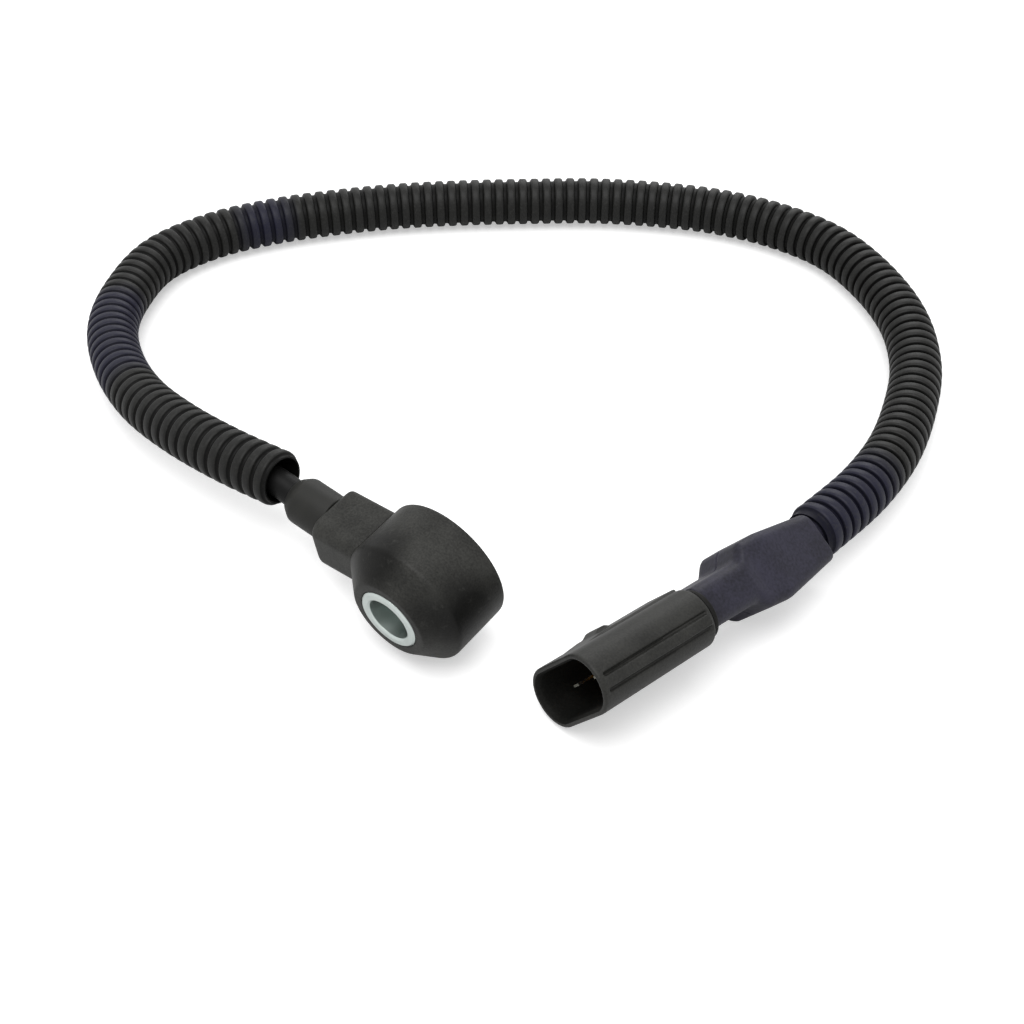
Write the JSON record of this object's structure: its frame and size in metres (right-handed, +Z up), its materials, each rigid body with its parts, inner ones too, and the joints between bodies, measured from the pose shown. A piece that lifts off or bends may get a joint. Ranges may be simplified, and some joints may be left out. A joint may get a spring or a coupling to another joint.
{
  "type": "engine knock sensor",
  "caption": "Ring-shaped engine knock sensor with a steel bolt sleeve, a side cable boss, a lead in corrugated conduit and an oval plug-in connector.",
  "frame": {"origin": "middle of the sensor head's bounding box, on the surface that the part lies on", "axes": "+Z up; +Y roughly along the bolt's axis towards the face that is clamped to the engine; +X away from the cable boss"},
  "size_m": [0.1754, 0.1622, 0.026],
  "materials": {
    "housing": "satin",
    "steel": "satin",
    "brass": "satin",
    "ceramic": "matte",
    "film": "satin",
    "rubber": "matte",
    "collar": "matte",
    "jacket": "satin",
    "conduit": "satin",
    "lead": "satin"
  },
  "bodies": {
    "root": {"steel_sleeve": "steel", "insulating_tube": "film", "lower_insulator": "film", "lower_contact": "brass", "piezo_ring": "ceramic", "upper_contact": "brass", "upper_insulator": "film", "seismic_mass": "steel", "disc_spring": "steel", "ring_nut": "steel", "sensor_housing": "housing", "cable_collar": "collar", "ground_lead": "lead", "signal_lead": "lead", "connector_shell": "housing", "terminal_lock": "film", "terminal_1": "brass", "terminal_2": "brass", "wire_seal_1": "rubber", "wire_seal_2": "rubber", "seal_cap": "housing", "backshell_upper": "housing", "backshell_lower": "housing", "plug_lead_1": "lead", "plug_lead_2": "lead", "corrugated_conduit": "conduit", "cable_jacket": "jacket"}
  },
  "joints": []
}
